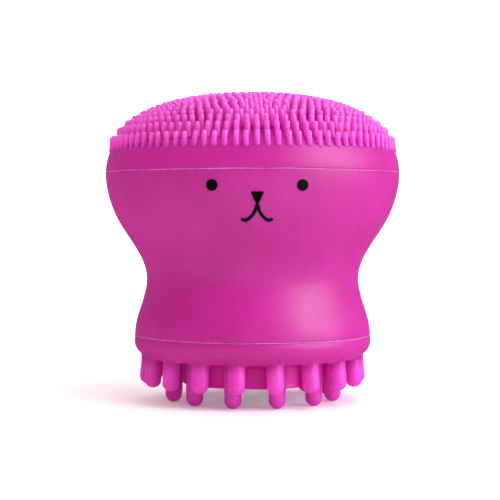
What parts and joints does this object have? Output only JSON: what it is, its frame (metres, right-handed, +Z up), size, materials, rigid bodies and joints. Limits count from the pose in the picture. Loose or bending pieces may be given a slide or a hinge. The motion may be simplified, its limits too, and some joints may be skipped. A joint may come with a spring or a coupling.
{
  "type": "facial cleansing brush",
  "caption": "Hand-held silicone face brush: domed field of fine bristles, waisted hollow grip, two rows of massage fingers round a foam sponge.",
  "frame": {"origin": "on the brush's own axis, on the surface that it stands on", "axes": "+Z up the brush's axis towards the bristles; -Y is the way the printed face looks; +X is to the viewer's right when looking at the face"},
  "size_m": [0.0502, 0.0502, 0.0523],
  "materials": {
    "bristle_silicone": "soft translucent pink silicone",
    "body_silicone": "matt magenta silicone with a soft sheen",
    "finger_silicone": "soft matt magenta silicone",
    "sponge_foam": "open-cell foam",
    "face_ink": "matt black printed ink"
  },
  "bodies": {
    "brush_body": {"bristle_pad": "bristle_silicone", "brush_cap": "body_silicone", "body_shell": "body_silicone", "finger_base": "body_silicone", "left_eye": "face_ink", "right_eye": "face_ink", "nose": "face_ink", "mouth": "face_ink"},
    "outer_finger_01": {"outer_finger_01": "finger_silicone"},
    "outer_finger_02": {"outer_finger_02": "finger_silicone"},
    "outer_finger_03": {"outer_finger_03": "finger_silicone"},
    "outer_finger_04": {"outer_finger_04": "finger_silicone"},
    "outer_finger_05": {"outer_finger_05": "finger_silicone"},
    "outer_finger_06": {"outer_finger_06": "finger_silicone"},
    "outer_finger_07": {"outer_finger_07": "finger_silicone"},
    "outer_finger_08": {"outer_finger_08": "finger_silicone"},
    "outer_finger_09": {"outer_finger_09": "finger_silicone"},
    "outer_finger_10": {"outer_finger_10": "finger_silicone"},
    "outer_finger_11": {"outer_finger_11": "finger_silicone"},
    "outer_finger_12": {"outer_finger_12": "finger_silicone"},
    "outer_finger_13": {"outer_finger_13": "finger_silicone"},
    "outer_finger_14": {"outer_finger_14": "finger_silicone"},
    "outer_finger_15": {"outer_finger_15": "finger_silicone"},
    "outer_finger_16": {"outer_finger_16": "finger_silicone"},
    "outer_finger_17": {"outer_finger_17": "finger_silicone"},
    "outer_finger_18": {"outer_finger_18": "finger_silicone"},
    "inner_finger_01": {"inner_finger_01": "finger_silicone"},
    "inner_finger_02": {"inner_finger_02": "finger_silicone"},
    "inner_finger_03": {"inner_finger_03": "finger_silicone"},
    "inner_finger_04": {"inner_finger_04": "finger_silicone"},
    "inner_finger_05": {"inner_finger_05": "finger_silicone"},
    "inner_finger_06": {"inner_finger_06": "finger_silicone"},
    "inner_finger_07": {"inner_finger_07": "finger_silicone"},
    "inner_finger_08": {"inner_finger_08": "finger_silicone"},
    "inner_finger_09": {"inner_finger_09": "finger_silicone"},
    "inner_finger_10": {"inner_finger_10": "finger_silicone"},
    "inner_finger_11": {"inner_finger_11": "finger_silicone"},
    "inner_finger_12": {"inner_finger_12": "finger_silicone"},
    "sponge": {"foam_sponge": "sponge_foam"}
  },
  "joints": [
    {"name": "outer_bend_01", "type": "hinge", "parent": "brush_body", "child": "outer_finger_01", "pos_m": [0.00306, -0.01738, 0.0068], "axis": [0.1736, -0.9848, 0], "range_deg": [-20, 20], "stiffness_Nm_per_rad": 0.0028},
    {"name": "outer_bend_02", "type": "hinge", "parent": "brush_body", "child": "outer_finger_02", "pos_m": [0.00882, -0.01529, 0.0068], "axis": [0.5, -0.866, 0], "range_deg": [-20, 20], "stiffness_Nm_per_rad": 0.0028},
    {"name": "outer_bend_03", "type": "hinge", "parent": "brush_body", "child": "outer_finger_03", "pos_m": [0.01352, -0.01135, 0.0068], "axis": [0.766, -0.6428, 0], "range_deg": [-20, 20], "stiffness_Nm_per_rad": 0.0028},
    {"name": "outer_bend_04", "type": "hinge", "parent": "brush_body", "child": "outer_finger_04", "pos_m": [0.01659, -0.00604, 0.0068], "axis": [0.9397, -0.342, 0], "range_deg": [-20, 20], "stiffness_Nm_per_rad": 0.0028},
    {"name": "outer_bend_05", "type": "hinge", "parent": "brush_body", "child": "outer_finger_05", "pos_m": [0.01765, 0, 0.0068], "axis": [1, 0, 0], "range_deg": [-20, 20], "stiffness_Nm_per_rad": 0.0028},
    {"name": "outer_bend_06", "type": "hinge", "parent": "brush_body", "child": "outer_finger_06", "pos_m": [0.01659, 0.00604, 0.0068], "axis": [0.9397, 0.342, 0], "range_deg": [-20, 20], "stiffness_Nm_per_rad": 0.0028},
    {"name": "outer_bend_07", "type": "hinge", "parent": "brush_body", "child": "outer_finger_07", "pos_m": [0.01352, 0.01135, 0.0068], "axis": [0.766, 0.6428, 0], "range_deg": [-20, 20], "stiffness_Nm_per_rad": 0.0028},
    {"name": "outer_bend_08", "type": "hinge", "parent": "brush_body", "child": "outer_finger_08", "pos_m": [0.00882, 0.01529, 0.0068], "axis": [0.5, 0.866, 0], "range_deg": [-20, 20], "stiffness_Nm_per_rad": 0.0028},
    {"name": "outer_bend_09", "type": "hinge", "parent": "brush_body", "child": "outer_finger_09", "pos_m": [0.00306, 0.01738, 0.0068], "axis": [0.1736, 0.9848, 0], "range_deg": [-20, 20], "stiffness_Nm_per_rad": 0.0028},
    {"name": "outer_bend_10", "type": "hinge", "parent": "brush_body", "child": "outer_finger_10", "pos_m": [-0.00306, 0.01738, 0.0068], "axis": [-0.1736, 0.9848, 0], "range_deg": [-20, 20], "stiffness_Nm_per_rad": 0.0028},
    {"name": "outer_bend_11", "type": "hinge", "parent": "brush_body", "child": "outer_finger_11", "pos_m": [-0.00882, 0.01529, 0.0068], "axis": [-0.5, 0.866, 0], "range_deg": [-20, 20], "stiffness_Nm_per_rad": 0.0028},
    {"name": "outer_bend_12", "type": "hinge", "parent": "brush_body", "child": "outer_finger_12", "pos_m": [-0.01352, 0.01135, 0.0068], "axis": [-0.766, 0.6428, 0], "range_deg": [-20, 20], "stiffness_Nm_per_rad": 0.0028},
    {"name": "outer_bend_13", "type": "hinge", "parent": "brush_body", "child": "outer_finger_13", "pos_m": [-0.01659, 0.00604, 0.0068], "axis": [-0.9397, 0.342, 0], "range_deg": [-20, 20], "stiffness_Nm_per_rad": 0.0028},
    {"name": "outer_bend_14", "type": "hinge", "parent": "brush_body", "child": "outer_finger_14", "pos_m": [-0.01765, 0, 0.0068], "axis": [-1, 0, 0], "range_deg": [-20, 20], "stiffness_Nm_per_rad": 0.0028},
    {"name": "outer_bend_15", "type": "hinge", "parent": "brush_body", "child": "outer_finger_15", "pos_m": [-0.01659, -0.00604, 0.0068], "axis": [-0.9397, -0.342, 0], "range_deg": [-20, 20], "stiffness_Nm_per_rad": 0.0028},
    {"name": "outer_bend_16", "type": "hinge", "parent": "brush_body", "child": "outer_finger_16", "pos_m": [-0.01352, -0.01135, 0.0068], "axis": [-0.766, -0.6428, 0], "range_deg": [-20, 20], "stiffness_Nm_per_rad": 0.0028},
    {"name": "outer_bend_17", "type": "hinge", "parent": "brush_body", "child": "outer_finger_17", "pos_m": [-0.00882, -0.01529, 0.0068], "axis": [-0.5, -0.866, 0], "range_deg": [-20, 20], "stiffness_Nm_per_rad": 0.0028},
    {"name": "outer_bend_18", "type": "hinge", "parent": "brush_body", "child": "outer_finger_18", "pos_m": [-0.00306, -0.01738, 0.0068], "axis": [-0.1736, -0.9848, 0], "range_deg": [-20, 20], "stiffness_Nm_per_rad": 0.0028},
    {"name": "inner_bend_01", "type": "hinge", "parent": "brush_body", "child": "inner_finger_01", "pos_m": [0.0036, -0.01343, 0.0068], "axis": [0.2588, -0.9659, 0], "range_deg": [-20, 20], "stiffness_Nm_per_rad": 0.002},
    {"name": "inner_bend_02", "type": "hinge", "parent": "brush_body", "child": "inner_finger_02", "pos_m": [0.00983, -0.00983, 0.0068], "axis": [0.7071, -0.7071, 0], "range_deg": [-20, 20], "stiffness_Nm_per_rad": 0.002},
    {"name": "inner_bend_03", "type": "hinge", "parent": "brush_body", "child": "inner_finger_03", "pos_m": [0.01343, -0.0036, 0.0068], "axis": [0.9659, -0.2588, 0], "range_deg": [-20, 20], "stiffness_Nm_per_rad": 0.002},
    {"name": "inner_bend_04", "type": "hinge", "parent": "brush_body", "child": "inner_finger_04", "pos_m": [0.01343, 0.0036, 0.0068], "axis": [0.9659, 0.2588, 0], "range_deg": [-20, 20], "stiffness_Nm_per_rad": 0.002},
    {"name": "inner_bend_05", "type": "hinge", "parent": "brush_body", "child": "inner_finger_05", "pos_m": [0.00983, 0.00983, 0.0068], "axis": [0.7071, 0.7071, 0], "range_deg": [-20, 20], "stiffness_Nm_per_rad": 0.002},
    {"name": "inner_bend_06", "type": "hinge", "parent": "brush_body", "child": "inner_finger_06", "pos_m": [0.0036, 0.01343, 0.0068], "axis": [0.2588, 0.9659, 0], "range_deg": [-20, 20], "stiffness_Nm_per_rad": 0.002},
    {"name": "inner_bend_07", "type": "hinge", "parent": "brush_body", "child": "inner_finger_07", "pos_m": [-0.0036, 0.01343, 0.0068], "axis": [-0.2588, 0.9659, 0], "range_deg": [-20, 20], "stiffness_Nm_per_rad": 0.002},
    {"name": "inner_bend_08", "type": "hinge", "parent": "brush_body", "child": "inner_finger_08", "pos_m": [-0.00983, 0.00983, 0.0068], "axis": [-0.7071, 0.7071, 0], "range_deg": [-20, 20], "stiffness_Nm_per_rad": 0.002},
    {"name": "inner_bend_09", "type": "hinge", "parent": "brush_body", "child": "inner_finger_09", "pos_m": [-0.01343, 0.0036, 0.0068], "axis": [-0.9659, 0.2588, 0], "range_deg": [-20, 20], "stiffness_Nm_per_rad": 0.002},
    {"name": "inner_bend_10", "type": "hinge", "parent": "brush_body", "child": "inner_finger_10", "pos_m": [-0.01343, -0.0036, 0.0068], "axis": [-0.9659, -0.2588, 0], "range_deg": [-20, 20], "stiffness_Nm_per_rad": 0.002},
    {"name": "inner_bend_11", "type": "hinge", "parent": "brush_body", "child": "inner_finger_11", "pos_m": [-0.00983, -0.00983, 0.0068], "axis": [-0.7071, -0.7071, 0], "range_deg": [-20, 20], "stiffness_Nm_per_rad": 0.002},
    {"name": "inner_bend_12", "type": "hinge", "parent": "brush_body", "child": "inner_finger_12", "pos_m": [-0.0036, -0.01343, 0.0068], "axis": [-0.2588, -0.9659, 0], "range_deg": [-20, 20], "stiffness_Nm_per_rad": 0.002},
    {"name": "sponge_pull", "type": "slide", "parent": "brush_body", "child": "sponge", "axis": [0, 0, -1], "range_m": [0, 0.02]}
  ]
}
